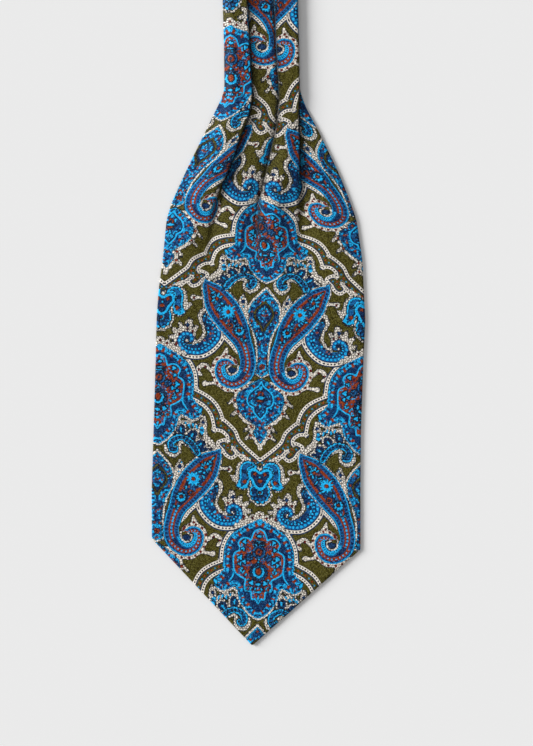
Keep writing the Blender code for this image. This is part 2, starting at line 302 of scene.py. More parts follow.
def panel_form(from_point, counts, bend_steps):
    """The face's mid-surface at each station, from its left edge to its right one, as arrays of across,
    height, the print's own across and distance from the point, and the painted shade along the folds and
    in the deepest creases. counts gives the columns in the four strips, which the three pleats part."""
    pleats = [
        pleat(LEFT_PLEAT, from_point, 1, bend_steps),
        [side[:, ::-1] for side in pleat(MIDDLE_PLEAT, from_point, -1, bend_steps)],
        pleat(RIGHT_PLEAT, from_point, 1, bend_steps),
    ]
    flat = np.zeros((len(from_point), 1))
    left, right = read(EDGES, "left", from_point), read(EDGES, "right", from_point)
    starts = [(left, flat)] + [(x[:, -1:], h[:, -1:]) for x, h in pleats]
    ends = [(x[:, :1], h[:, :1]) for x, h in pleats] + [(right, flat)]
    across, height, shift, place = [], [], [], []
    for i, name in enumerate(STRIPS):
        share = even(counts[i])
        if name == "left":
            share = np.hstack([ROLLED, share[:, 1:] * (1 - MARGIN) + MARGIN])
        if name == "fan":
            share = np.hstack([share[:, :-1] * (1 - MARGIN), 1 - ROLLED[:, ::-1]])
        rise = read(PUFF, "rise", from_point) if name == "left" else 1.0
        x, h = strip(starts[i], ends[i], share, read(PUFF, name, from_point), rise)
        across.append(x)
        height.append(h)
        shift.append(read(PRINT_SHIFT, name, from_point) + 0 * x)
        place.append(i - 0.5 + share[0])
        if i < len(pleats):
            x, h = pleats[i]
            swallowed = read(PRINT_SHIFT, STRIPS[i + 1], from_point) - shift[-1][:, -1:]
            across.append(x[:, 1:-1])
            height.append(h[:, 1:-1])
            shift.append(shift[-1][:, -1:] + swallowed * even(x.shape[1] - 1)[:, 1:-1])
            place.append(np.full(x.shape[1] - 2, i + 0.5))
    across, height, shift = np.hstack(across), np.hstack(height), np.hstack(shift)
    shade = painted_fold_shade(across, from_point)
    # From the middle of each strip to the next one's, the share of the one falls as the other's climbs.
    draws = np.hstack([read(PRINT_DRAW, name, from_point) for name in STRIPS])
    strips = np.arange(len(STRIPS))[:, None]
    hats = np.maximum(0, 1 - np.abs(np.clip(np.hstack(place), 0, strips[-1]) - strips))
    # Below the corners the section is squeezed between the straight edges of the point, and flattens.
    station = from_point[:, None]
    point_left = POINT_X + (LEFT_CORNER[0] - POINT_X) * station / LEFT_CORNER[1]
    point_right = POINT_X + (RIGHT_CORNER[0] - POINT_X) * station / RIGHT_CORNER[1]
    new_left, new_right = np.maximum(left, point_left), np.minimum(right, point_right)
    squeeze = (new_right - new_left) / (right - left)
    across = new_left + (across - left) * squeeze
    height = height * squeeze ** 2 - creased(across, station)
    # The deepest creases get painted shade as well, a little wider than they are pressed.
    deep = np.clip(creased(across, station, CREASE_SPREAD) - SHALLOW, 0, 1)
    shade = np.maximum(shade, CREASE_SHADE * deep)
    # The roll: a quarter of an ellipse from the edge inwards, measured square to the slanting edges.
    slant_left = np.where(station < LEFT_CORNER[1], SLANTS[0], 1.0)
    slant_right = np.where(station < RIGHT_CORNER[1], SLANTS[1], 1.0)
    inwards = np.minimum((across - new_left) * slant_left, (new_right - across) * slant_right)
    roll = 1 - np.clip(inwards, 0, ROLL_WIDTH) / ROLL_WIDTH
    height -= ROLL_DROP * (1 - np.sqrt(np.clip(1 - roll ** 2, 0, 1)))
    return across, height, across - shift, station + draws @ hats, shade


# --- The print -------------------------------------------------------------------------------------------
# A traditional shawl pattern screen-printed on olive twill: palmettes, paired paisley cones, scrolled horns,
# a pointed medallion and a beaded trellis, mirrored about each axis and set as a half drop. Each place on the
# cloth gets smooth distances to the motifs' edges, from which the silk's nodes draw sharp bands and dots.
REPEAT_ACROSS, REPEAT_DOWN = 149.8, 248.6
PALMETTE_FROM_POINT = 58.5  # the lowest palmette's middle
SLANT = 0.056  # the print runs a little off the cloth's grain
GROUP_TOP = -84.0  # one group of motifs starts this far above its palmette's middle
FAR = 6.0  # distances are kept up to this
NEAR = 3  # thin lines and small shapes only need theirs up to this
NOWHERE = 54.0  # the distance of a line that isn't near
HIDDEN = 2.2  # a row of beads or dots is drawn only where its mask is below this
OUTSIDE = 2  # a place this far outside a banded motif has no part in its bands
INKS = ("blue", "navy", "cyan", "rust", "maroon", "cream", "pebble", "mosaic", "garden")
ROWS = ("chain", "swag", "loop", "berries")  # pale beads, the trellis' dots, thin cyan lines, maroon berries
LINE_STEP = 0.45  # between the points of a drawn line
SPAN_STEPS = 24  # places worked out between two of its rows, before the points are set at even steps
AT_ONCE = 20000  # as many places are worked out at a time, to save memory


def drawn(*rows):
    """A smooth Catmull-Rom line through rows of (across, down, half width), as points at even steps with
    their directions and arc lengths. A row given twice makes a corner."""
    rows = np.array([row if len(row) == 3 else (*row, 0) for row in rows], float)
    ends = np.vstack([2 * rows[0] - rows[1], rows, 2 * rows[-1] - rows[-2]])
    s = np.linspace(0, 1, SPAN_STEPS, endpoint=False)[:, None]
    spans = [
        0.5 * (2 * b + (c - a) * s + (2 * a - 5 * b + 4 * c - d) * s ** 2 + (3 * b - a - 3 * c + d) * s ** 3)
        for a, b, c, d in zip(ends, ends[1:], ends[2:], ends[3:])
    ]
    points = np.vstack([*spans, rows[-1:]])
    arc = np.append(0, np.cumsum(np.hypot(*np.diff(points[:, :2], axis=0).T)))
    steps = np.linspace(0, arc[-1], max(int(arc[-1] / LINE_STEP), 8))
    even_points = np.column_stack([np.interp(steps, arc, column) for column in points.T])
    direction = np.gradient(even_points[:, :2], axis=0)
    direction /= np.hypot(*direction.T)[:, None] + 1e-9
    return {"at": even_points[:, :2], "half": even_points[:, 2], "arc": steps, "direction": direction}


# Half of each outline, as across and down from the palmette's middle, from top to bottom.
PALMETTE = drawn((0, -34.5), (6, -31.5), (13, -27.5), (20.5, -21.5), (25, -12.5), (26, -1), (25.7, 4),
                 (28.6, 7.4), (32, 12), (31.8, 16), (28.5, 19), (25, 19.7), (17.2, 16.2), (17.2, 16.2),
                 (15, 20), (14.3, 25), (11.5, 29.6), (6, 36), (0, 39.5))
CARTOUCHE = drawn((0, -26.8), (3.4, -25), (5, -21.5), (6, -18.6), (8, -19.6), (12, -19.6), (15.2, -16),
                  (13.8, -11.2), (17.8, -8.2), (18.6, -3), (17.4, 5), (13.5, 8.5), (9.6, 10.8), (10, 15),
                  (9.2, 18.8), (5.4, 19.4), (5, 22.6), (4.4, 25), (2.2, 24.8), (0, 28))
TENDRIL = drawn((17.8, 3), (18.6, 8), (21, 12))
# The paisley cone: its middle line and half widths, from the tip through the neck and round the curl.
CONE = drawn((45.6, 40.4, 0.4), (43, 45, 4.6), (38, 51, 8.6), (33.5, 57.4, 10.7), (26.3, 66.4, 11.2),
             (19.3, 76.8, 9.3), (14.6, 85.8, 6.6), (11.6, 94, 6), (10.6, 103, 6.1), (13.5, 110.6, 5.9),
             (20.5, 115.5, 4.9), (27.3, 113.5, 4.4), (30.6, 107.3, 4), (29.6, 102.2, 3.4), (25.5, 100.3, 2.2),
             (22, 101.3, 1.4))
NECK_ARC, CURL_ARC = 44.0, 78.0  # arc lengths at which the bowl ends in the neck, and the neck in the curl
CURL_EDGE = CURL_ARC + 5  # the curl's pale edge starts here
CURL_STRETCH = 1.8  # the outside of the curl is about this much longer than its middle line
EYE = drawn((17.5, 103), (18, 107.5), (21.5, 109.9), (25.2, 107.8), (25.4, 104.8), (22.5, 103.4))
# The dotted horn, from the cone's flank round its spiral.
HORN = drawn((39.5, 71.2, 3.5), (36.5, 75.7, 4.8), (35.7, 81.5, 4.7), (37.7, 85.6, 4.5), (41.1, 89.5, 4.2),
             (45.3, 92.3, 3.9), (50.1, 93, 3.8), (54.9, 92.6, 3.5), (58.6, 90.4, 3.1), (60.2, 86.9, 2.6),
             (58.9, 83.4, 2.3), (55.6, 81.9, 2), (52.6, 83.1, 1.8), (52, 85.9, 1.4), (53.6, 86.9, 0.8))
HOOK = drawn((29.4, 44.6, 1.8), (27.5, 41.1, 2), (24.7, 37.6, 2), (21.6, 35, 1.9), (18.1, 33.4, 1.8),
             (14.3, 33.9, 1.8), (10.8, 36.4, 2), (9.8, 39.7, 2.2), (11.1, 42.6, 2.2), (13.2, 42.8, 1.6),
             (13.7, 41.3, 1))
HOOK_LACE = drawn((28.8, 47.5, 0.9), (27, 44, 1.2), (24.6, 40.6, 1.2), (21.6, 38.4, 1.2), (17.6, 37, 1.2),
                  (15.8, 38.5, 1.2), (16, 42, 1.3), (15.2, 45, 1.3), (11.6, 47.2, 1.3), (8, 45.6, 1.3),
                  (6.2, 42.5, 1.2), (6.4, 39, 1))
STRIPE_LACE = drawn((15.5, 22.5, 1.2), (21, 22.2, 1.5), (25.5, 23.2, 1.5), (28.8, 24.8, 1.3), (30, 28, 1))
CLOVER_LACE = drawn((34.1, 16.3, 0.4), (33.5, 22, 2.6), (33.2, 27, 2.6), (35.4, 32.4, 1.9), (38.6, 36, 2),
                    (42.5, 40, 1.4))
BUD_LACE = drawn((16.3, 49.5, 0.4), (16.5, 54.5, 2.9), (14.5, 60, 2.4), (11.5, 68.5, 0.8))
SPADE = drawn((0, 44.4), (3.2, 47.8), (7, 52), (10, 56.4), (11.7, 61.5), (11.6, 67), (10, 72), (7.4, 77.4),
              (5, 86), (4.1, 95), (4.4, 103), (5, 107.5), (0, 110.5))
PALE_LINE = drawn((7, 79.3), (5.4, 84.6), (4.6, 90.2), (4.3, 96.8), (4.6, 102.3), (5.6, 107), (8, 111.5),
                  (12.5, 116.4))
DROP = drawn((0, 54.3), (2.2, 56.6), (5.6, 60), (6.9, 63.8), (5.6, 68), (2.2, 72.5), (0.9, 76), (0.5, 84),
             (0, 88))
MEDALLION = drawn((0, 111), (6.9, 115), (12, 118.2), (16, 122), (17.6, 127.5), (15.8, 134.7), (12, 140.6),
                  (7, 144.4), (3.2, 147.2), (5.2, 150), (4.6, 153), (2.4, 156.8), (0, 160))
QUATREFOIL = drawn((0, 114), (2, 117.2), (5.4, 119.8), (8.6, 123.4), (9.6, 127.6), (8.4, 131.2), (5, 133),
                   (5, 133), (4.6, 136), (2.2, 139.4), (0, 141.7))
HEART = drawn((0, -68.9), (0, -68.9), (2.8, -70.6), (5.8, -71.2), (8.4, -69.2), (8.8, -65.2), (6.7, -62.1),
              (4, -57.1), (1.8, -55.4), (0, -54.7))
HEART_ARM = drawn((3.2, -72, 1), (7.5, -73.6, 2.2), (11, -71.5, 2.9), (11.7, -67, 3), (11.2, -62.5, 3.3),
                  (12.8, -59, 3.3))
HEART_LINE = drawn((0, -69.6, 0.9), (4, -74.6, 0.9), (9, -77.6, 1), (13.6, -80.6, 0.9))
HEART_LACE = drawn((10.4, -75.4, 1.4), (14.6, -72.4, 1.6), (15.8, -67, 1.6), (16.6, -62.6, 2.6),
                   (20.9, -64.6, 0.5))
# The trellis: two beaded chains and the row of dots between them, from the palmette's flank to its point.
UPPER_CHAIN = drawn((26.5, -2.4), (28, -1.8), (34.6, 1.3), (40.1, 5), (44.2, 9.8), (46.7, 15.3), (47.5, 18.2),
                    (47.5, 18.2), (51.9, 21.7), (56.7, 26.7), (59.4, 32.9), (63.7, 37.6), (69.2, 42.4),
                    (74.9, 47))
LOWER_CHAIN = drawn((24.8, 4.5), (30.2, 7), (35.3, 10.7), (39.2, 16), (40.9, 22.6), (41.5, 26.6),
                    (41.5, 26.6), (46.8, 27.2), (50.9, 30.8), (51, 34), (51, 34), (48.6, 33.6), (44.5, 35.3),
                    (44.1, 37.4), (47.4, 40.8), (47.4, 40.8), (49.9, 44.5), (54.1, 46.5), (57.8, 43.4),
                    (55.5, 39.6), (55.5, 39.6), (59.8, 44.1), (64.4, 48.5), (70.4, 50.4), (74.9, 55))
DOT_ROW = drawn((25.8, 1.4), (30.7, 3.2), (35.5, 6.2), (40, 10.7), (42.8, 16.1), (44.9, 22.6), (47.6, 23.8),
                (52.3, 26.8), (54.9, 32.7), (58.2, 37.7), (63.5, 43.2), (69.4, 47), (74.9, 49.8))
LOBE_ROW = drawn((54.6, 36.6), (50.3, 38.2), (47.9, 37.4))
LOBE_STEM = drawn((51.2, 38.8), (52.6, 41.2), (53.2, 43.4))
CURL_BUD = drawn((35.6, 108, 1.3), (38.3, 106.7, 1.1), (40.8, 104.1, 1.3), (43.7, 104, 1.4),
                 (46.5, 106.6, 1.4), (46.5, 109.4, 1.3), (44.6, 110.9, 1))
SIDE_BUD = drawn((34, 116.6, 1), (38, 117.2, 1), (41.2, 117.4, 1.8))
TOP_BUD = drawn((29.5, 98.5, 1.6), (27.8, 96, 2), (26.8, 93.5, 1.6), (26.4, 90.6, 0.6))
CONE_BUD = drawn((46.6, 54.6, 1), (50, 54.6, 1), (52.5, 54.9, 2.1))
# The crown over the horn's spiral: its middle, its radius, and its spikes' angles, of which TALLEST is one.
CROWN_AT, CROWN_RADIUS, CROWN_SPIKES, TALLEST = (56, 85.6), 7.4, (-128, -98, -66, -34, -4, 24), -98
LEAF_LACE = drawn((42.2, 62.6, 1.1), (45.6, 64.8, 1.2), (46.6, 69.6, 1.1), (44, 75, 0.9), (43, 80.4, 0.8),
                  (46, 85.8, 0.9), (50.4, 88, 0.8))
LEAF = drawn((42.4, 66, 0.4), (43.6, 69.6, 1.1), (42, 74, 1.1), (41.4, 78, 0.3))
HOOK_PETALS = ((34.4, 43, -15), (31.2, 37.8, -32), (25.4, 31.4, -57), (17.2, 27.6, 88))


def unit(angle):
    """The cosine and sine of an angle in degrees."""
    return math.cos(math.radians(angle)), math.sin(math.radians(angle))


def printed(across, from_point):
    """For each place on the cloth: its distance from the edge of each ink, below 0 inside it; for each row of
    beads, dots or thin line its signed gap, its mask and how far along it the place lies; and for the banded
    motifs how deep the place lies from either side, and how far along."""
    count = len(across)
    down = PALMETTE_FROM_POINT - from_point - SLANT * across
    # The mirrored half drop folds every place onto two half groups, and the nearer motif of the two prints.
    first = np.abs((across + REPEAT_ACROSS / 2) % REPEAT_ACROSS - REPEAT_ACROSS / 2)
    u = np.append(first, REPEAT_ACROSS / 2 - first)
    v = np.append(down, down + REPEAT_DOWN / 2)
    v = (v - GROUP_TOP) % REPEAT_DOWN + GROUP_TOP
    inks = {ink: np.full(count, FAR) for ink in INKS}
    rows = {row: {"gap": np.full(count, FAR), "mask": np.full(count, FAR), "arc": np.zeros(count)}
            for row in ROWS}
    bands = {}

    def beside(line, reach):
        """Signed distance to the right of the line, arc length at the nearest point and half width there."""
        reach = reach + line["half"].max()
        low, high = line["at"].min(0) - reach, line["at"].max(0) + reach
        near = np.flatnonzero((u > low[0]) & (u < high[0]) & (v > low[1]) & (v < high[1]))
        side, arc, half = np.full(2 * count, NOWHERE), np.zeros(2 * count), np.zeros(2 * count)
        at, direction = line["at"].astype(np.float32), line["direction"]
        for part in np.array_split(near, len(near) // AT_ONCE + 1):
            place = np.column_stack([u[part], v[part]]).astype(np.float32)
            nearest = ((at ** 2).sum(1) - 2 * place @ at.T).argmin(1)
            off, ahead = place - at[nearest], direction[nearest]
            turned = ahead[:, 0] * off[:, 1] - ahead[:, 1] * off[:, 0]
            side[part] = np.hypot(*off.T) * np.where(turned < 0, -1, 1)
            arc[part] = line["arc"][nearest] + (ahead * off).sum(1).clip(-LINE_STEP, LINE_STEP)
            half[part] = line["half"][nearest]
        return side, arc, half

    def outline(line, reach=FAR):
        """Distance from a half outline that closes on the axis, below 0 inside, and the arc length. A place
        is inside where a line from it outwards crosses the outline an odd number of times."""
        side, arc, _ = beside(line, reach)
        shape = np.abs(side)
        low, high = line["at"][:, 1].min(), line["at"][:, 1].max()
        near = np.flatnonzero((u < line["at"][:, 0].max()) & (v > low) & (v < high))
        a, b = line["at"][:-1], line["at"][1:]
        for part in np.array_split(near, len(near) // AT_ONCE + 1):
            level = v[part, None]
            slope = (b[:, 0] - a[:, 0]) / (b[:, 1] - a[:, 1] + 1e-9)
            spans = (a[:, 1] > level) != (b[:, 1] > level)
            crossed = spans & (u[part, None] < a[:, 0] + (level - a[:, 1]) * slope)
            inside = crossed.sum(1) % 2 == 1
            shape[part] = np.where(inside, -shape[part], shape[part])
        return shape, arc

    def stroke(line, reach=FAR):
        """Distance from the edge of a tapering stroke."""
        side, _, half = beside(line, reach)
        return np.abs(side) - half

    def spot(x, y, radius):
        """Distance from the edge of a round spot."""
        return np.hypot(u - x, v - y) - radius

    def petal(x, y, long, wide, angle=0.0):
        """Distance, near enough, from the edge of an ellipse of half sizes long, at the angle, and wide."""
        c, s = unit(angle)
        along, aside = (u - x) * c + (v - y) * s, (v - y) * c - (u - x) * s
        return (np.hypot(along / long, aside / wide) - 1) * min(long, wide)

    def flower(x, y, radius, petals, depth):
        """A round flower whose edge dips by depth between its petals: r = radius - depth (1 - cos nA) / 2."""
        angle = np.arctan2(v - y, u - x)
        return np.hypot(u - x, v - y) - radius + depth * (1 - np.cos(petals * angle)) / 2

    def wave(arc, pitch, height):
        """A scalloped edge: height times the absolute cosine of the arc, so that its lobes are round."""
        return height * np.abs(np.cos(math.pi * arc / pitch))

    def take_off(shape):
        """Takes what was printed before off the inside of a shape."""
        for ink in INKS:
            inks[ink] = np.maximum(inks[ink], -shape)
        for row in rows.values():
            row["mask"] = np.maximum(row["mask"], HIDDEN - shape)

    def lay(ink, *shapes):
        """Prints the ink where all the shapes are below 0, and takes every other ink off there. With no ink
        it leaves bare silk."""
        both = np.clip(np.maximum.reduce(np.broadcast_arrays(*shapes)), -FAR, FAR)
        shape = np.minimum(both[:count], both[count:])
        under_it = inks.get(ink)
        take_off(shape)
        if ink:
            inks[ink] = np.minimum(under_it, shape)

    def nest(shape, *inks_in):
        """Prints inks one inside another, each given with how deep inside the shape its edge lies."""
        for ink, depth in zip(inks_in[::2], inks_in[1::2]):
            lay(ink, shape + depth)

    def sow(ink, kind, sizes, *places):
        """Prints one kind of shape at each place: across, down and, for a petal, its angle."""
        for x, y, *angle in places:
            lay(ink, kind(x, y, *sizes, *angle))

    def run(kind, gap, arc, where=True):
        """Adds a row along a line: each place keeps the row that it is nearest to."""
        both = np.where(where, gap, NOWHERE)
        chosen = np.abs(both[count:]) < np.abs(both[:count])
        gap = np.where(chosen, both[count:], both[:count])
        row, nearer = rows[kind], np.abs(gap) < rows[kind]["mask"]
        row["arc"] = np.where(nearer, np.where(chosen, arc[count:], arc[:count]), row["arc"])
        row["gap"] = np.where(nearer, gap, row["gap"]).clip(-FAR, FAR)
        row["mask"] = np.minimum(row["mask"], np.abs(gap))

    def banded(name, **depths):
        """Prints a banded motif, whose place in the bands is kept: how deep from each side, and its arc."""
        sides = [depth for side, depth in depths.items() if side != "arc"]
        deep = np.minimum.reduce(sides)
        chosen = deep[count:] > deep[:count]
        deep = np.where(chosen, deep[count:], deep[:count])
        for side, depth in depths.items():
            depth = np.where(chosen, depth[count:], depth[:count])
            if side != "arc":
                # Well outside the motif, it only counts how far off it is.
                depth = np.where(deep < -OUTSIDE, np.maximum(deep, -FAR), depth)
            bands[f"{name}_{side}"] = depth
        take_off((-deep).clip(-FAR, FAR))

    # Trellis.
    for line, facing in ((UPPER_CHAIN, 1), (LOWER_CHAIN, -1)):
        side, arc, _ = beside(line, FAR)
        run("chain", side * facing, arc)
    for line in (DOT_ROW, LOBE_ROW, LOBE_STEM):
        side, arc, _ = beside(line, NEAR)
        run("swag", side, arc)

    # Column and spade between the cones.
    spade, spade_arc = outline(SPADE)
    lay("cream", spade - 1.1 - wave(spade_arc, 2.4, 0.3), v - 71)
    lay("cream", spade - 0.8, 70 - v)
    lay("mosaic", spade + 0.2)
    lay("cyan", np.abs(spade + 0.7) - 0.6)
    sow("rust", flower, (1.3, 3, 0.4),
        (0, 48.5), (5, 54.5), (9, 62), (8.6, 69.5), (4.6, 76.5), (2.4, 86.6), (1.9, 96.8))
    drop, _ = outline(DROP)
    lay("navy", drop - 0.3, v - 80)
    lay("mosaic", drop + 2, v - 74)
    lay(None, np.abs(drop) - 1.0, v - 77)
    sow("cyan", petal, (1.2, 0.8), (0, 58.4, 60), (1.7, 59.8, 60), (0, 61.4, 60))
    lay("rust", petal(1.1, 64.8, 1.7, 0.8, -45))
    nest(spot(0, 103, 2.3), "rust", 0, "maroon", 1.3)
    lay("cream", stroke(PALE_LINE, NEAR) - 0.65)

    # Pointed medallion.
    medal, medal_arc = outline(MEDALLION)
    lay("cream", medal - 1.6 - wave(medal_arc, 4.2, 0.9), 114 - v)
    for x, y in ((18.8, 128.2), (16.2, 136.4), (6.6, 147.2), (6.8, 153.6)):
        lay("pebble", spot(x, y, 2.2))
        lay("pebble", petal(x + 3, y + 1.8, 2.2, 1, 40))
        lay("rust", spot(x, y, 1.2))
    lay("cream", petal(0, 162.5, 2.6, 1.5, 90))
    lay("mosaic", medal)
    lay("cyan", np.abs(medal + 0.7) - 0.5)
    sow("rust", flower, (1.5, 3, 0.5), (13.2, 125.6), (7.8, 138), (0, 147.7), (12.6, 131.6), (5.4, 117.4))
    leaf, leaf_arc = outline(QUATREFOIL)
    lay("navy", leaf - 0.6)
    lay("mosaic", np.abs(leaf + 3) - 1.4)
    run("loop", leaf, leaf_arc)
    lay("cyan", petal(0, 118.6, 1.2, 2.2))
    lay("rust", np.abs(spot(0, 123, 1.7)) - 0.7)
    lay("cyan", petal(0, 125.6, 3.3, 1.2))
    lay("rust", petal(0, 128, 2.7, 0.9))
    lay("cyan", petal(0, 132, 1, 2))
    sow("blue", spot, (1.2,), (4.9, 124.6), (4.8, 128.4), (0, 136.6))

    # Horn: its banded body, beads outside its bend, a leaf within it, and a spiked crown over its spiral.
    side, horn_arc, half = beside(HORN, FAR)
    crown = np.hypot(u - CROWN_AT[0], v - CROWN_AT[1])
    lay("pebble", np.abs(crown - CROWN_RADIUS - 0.2) - 1.7, v - 91, 49.6 - u)
    for angle in CROWN_SPIKES:
        c, s = unit(angle)
        long, wide = (3.9, 2.7) if angle == TALLEST else (2.7, 1.5)
        away = CROWN_RADIUS + long
        lay("pebble", petal(CROWN_AT[0] + away * c, CROWN_AT[1] + away * s, long, wide, angle))
    lay("pebble", stroke(LEAF_LACE) - 0.2)
    sow("maroon", spot, (1.1,), (51.6, 79.6), (61.2, 82.3), (62.9, 88.8), (55.6, 78.4))
    lay("navy", flower(55.3, 75.2, 1.7, 4, 0.3))
    lay("rust", spot(55.5, 77.8, 0.8))
    nest(stroke(LEAF, NEAR), "navy", -0.5, "blue", 0)
    sow("cyan", spot, (0.9,), (43.2, 68), (42, 73.4))
    run("chain", side - half - 1.6, horn_arc, (side > 0) & (horn_arc > 6) & (horn_arc < 39.5))
    lay("navy", spot(55.8, 86.4, 2.4))
    lay("pebble", spot(55.4, 86.6, 1))
    banded("horn", outer=half - side, inner=half + side, arc=horn_arc)

    # Cone: its pale edge with buds, berries and beads, its bands, its flowers, and the eye of its curl.
    side, cone_arc, half = beside(CONE, FAR)
    outer, inner = half - side, half + side
    cone = -np.minimum(outer, inner)
    lay("cream", cone - 0.8, cone_arc - NECK_ARC)
    lay("cream", cone - 1.9 - wave(cone_arc, 5.2, 0.7), CURL_EDGE - cone_arc, -side)
    for line in (CURL_BUD, SIDE_BUD, TOP_BUD, CONE_BUD):
        lay("cream", stroke(line, NEAR))
    sow("maroon", spot, (1.1,), (41.5, 105.1), (46.1, 107.5), (26.9, 95.2), (52.2, 54.9))
    run("berries", side - half - 1.3, cone_arc * CURL_STRETCH, (side > 0) & (cone_arc > CURL_EDGE))
    run("chain", -inner - 1.5, cone_arc, (side < 0) & (cone_arc > NECK_ARC) & (cone_arc < 85))
    banded("cone", outer=outer, inner=inner, arc=cone_arc)
    lay("cyan", flower(26.3, 63.4, 5.8, 11, 2.6))
    lay("rust", spot(26.3, 63.4, 1.5))
    for angle in range(-150, 76, 45):
        c, s = unit(angle)
        lay("cyan", petal(35.4 + 2.9 * c, 54.3 + 2.9 * s, 1.9, 0.75, angle))
    lay("rust", spot(35.4, 54.3, 1.3))
    sow("cyan", petal, (2, 0.75), (40.6, 47.6, 130), (38.8, 50.2, 40), (31.4, 57.6, 150), (21, 70, 100),
        (30.6, 68.4, 20), (33.8, 61.6, 60), (22.8, 59.6, 30))
    lay("rust", np.abs(spot(24.4, 73.8, 1.7)) - 0.6)
    lay("navy", spot(17.4, 77.4, 4.2))
    lay("cyan", flower(17.4, 77.4, 3.9, 9, 1.3))
    nest(spot(17.6, 77, 1.7), "navy", 0, "rust", 0.6)
    sow("cyan", petal, (1.6, 0.8), (15.6, 83.6, 110), (12.6, 84.2, 80))
    lay("cream", stroke(EYE, NEAR) - 0.6)
    lay("navy", petal(21.9, 106.6, 3.1, 1.9, 5))

    # Heart under the trellis' point, with curled arms and a fan below it.
    heart, _ = outline(HEART)
    arm = stroke(HEART_ARM)
    fan = petal(0, -54, 8, 9.1) + wave(np.arctan2(u, v + 54) * 8.4, 4.4, 0.7)
    lay("cream", stroke(HEART_LINE, NEAR))
    lay("pebble", stroke(HEART_LACE) - 0.3)
    lay("pebble", arm - 1.1)
    lay("pebble", fan - 1.5)
    nest(arm, "navy", -0.7, "cyan", -0.3, "blue", 1.3)
    lay("navy", spot(11.7, -68.3, 1.3))
    lay("rust", flower(11.2, -60.9, 1.8, 3, 0.6))
    lay("cyan", petal(15.4, -58.4, 2, 1.4, 20))
    lay("cyan", petal(10.6, -57.4, 2.4, 1.1, -10))
    nest(fan, "navy", -0.3, "cyan", 0.1, "navy", 1.7)
    for angle in (20, 55, 90):
        c, s = unit(angle)
        lay("blue", petal(4.6 * c, -53.4 + 5.2 * s, 1.9, 1.1, angle))
    nest(heart, "navy", -0.4, "cyan", 0.1, "navy", 2.2)
    lay("rust", flower(3.7, -66.9, 1.6, 3, 0.4))
    lay("cyan", spot(0, -64.6, 0.9))
    lay("rust", flower(0, -61.8, 2, 3, 0.7))
    lay("cyan", np.abs(spot(0, -53.6, 1.9)) - 0.5)
    lay("rust", spot(0, -53.6, 0.9))

    # What grows from under the palmette's lobes.
    for line in (CLOVER_LACE, BUD_LACE, HOOK_LACE, STRIPE_LACE):
        lay("pebble", stroke(line))
    lay("navy", flower(33.3, 21.7, 1.6, 4, 0.3))
    lay("cyan", petal(32.4, 27.6, 3.4, 1.8, 90))
    lay("blue", spot(32.4, 27.4, 1))
    sow("cyan", petal, (2.1, 0.95), (20.4, 23, 80), (23.2, 24.4, 80), (26, 23.6, 80), (28.7, 25, 80))
    lay("navy", spot(16.2, 54.8, 1.6))
    sow("cyan", spot, (0.9,), (17.4, 52), (15.6, 58.6))
    for x, y, angle in HOOK_PETALS:
        lay("pebble", petal(x, y, 5.4, 4.4, angle), 1 - cone)
    for x, y, angle in HOOK_PETALS:
        for ink, long, wide in (("navy", 4.2, 3.3), ("blue", 3, 1.7), ("cyan", 2.2, 0.9)):
            lay(ink, petal(x, y, long, wide, angle), 1 - cone)
    side, hook_arc, half = beside(HOOK, FAR)
    hook = np.abs(side) - half - 0.5
    nest(hook, "navy", -0.4, "cyan", 0, "blue", 1.3)
    lay("navy", np.abs(side) - 0.6, np.abs(hook_arc % 2.8 - 1.4) - 0.55)

    # Palmette.
    palmette, palmette_arc = outline(PALMETTE)
    lay("pebble", palmette - 1.5, 16.5 - v, 15.2 - u, v - 36)
    lay("cream", palmette - 1.0, 30 - v)
    lay("pebble", palmette - 3.3 - wave(palmette_arc, 4.4, 1.8), v + 27)
    sow("maroon", spot, (1.1,), (0, -36.8), (4.8, -34.6), (11.6, -34.4))
    run("chain", palmette - 1.5, palmette_arc, (v > -24) & (v < -3))
    banded("palmette", depth=0.3 - palmette - wave(palmette_arc, 2.9, 0.7), arc=palmette_arc)
    side, tendril_arc, _ = beside(TENDRIL, NEAR)
    run("loop", side, tendril_arc)
    cartouche, cartouche_arc = outline(CARTOUCHE)
    lay("garden", cartouche + 0.3)
    run("loop", cartouche, cartouche_arc)
    lay("cyan", np.abs(spot(7.4, 17.4, 1.7)) - 0.5)
    lay("cyan", petal(31.2, 13.2, 2.6, 1.2, -65))
    lay("navy", flower(0, 4.7, 7.3, 14, 0.9))
    lay("blue", np.abs(flower(0, 4.7, 6.3, 14, 0.9)) - 0.45)
    lay("cyan", flower(0, 4.9, 4.7, 9, 0.5))
    lay("navy", petal(0, 4.3, 2.6, 3.3))
    lay("rust", petal(0, 4.3, 1.9, 2.7))
    nest(flower(7, -5.8, 2.9, 7, 1.3), "navy", -0.8, "blue", 0)
    lay("navy", spot(7, -5.8, 0.9))
    for x, y, size in ((13.6, -5.2, 2.1), (10.6, -2.4, 1.8), (13.8, -0.6, 1.7), (4.9, 12.9, 2),
                       (0, 13.8, 1.9), (10.6, -17, 1.9), (0, -21.4, 1.9), (11.6, -11.8, 1.7),
                       (2.6, 17.4, 1.3)):
        lay("navy", flower(x, y, size + 0.7, 3, 0.9))
        lay("cyan", flower(x, y, size + 0.1, 3, 1.1))
    sow("cyan", petal, (1.5, 0.75), (12, 2.6, 50), (10.8, 4.8, 60), (12.8, 5, 120), (9.4, 7.2, 50),
        (7.4, 10.6, 30))
    for y, long in ((-17.2, 4.4), (-15, 4.9)):
        lay("navy", petal(0, y, long, 1.2))
        lay("cyan", petal(0, y, long - 0.7, 0.6))
    lay("navy", spot(0, -9.8, 5))
    lay("blue", np.abs(spot(0, -9.8, 4)) - 0.65)
    nest(spot(0, -9.8, 2.5), "rust", 0, "navy", 1.4)
    sow("cyan", petal, (1.2, 0.7), (0, -4.4), (0, -2.4))
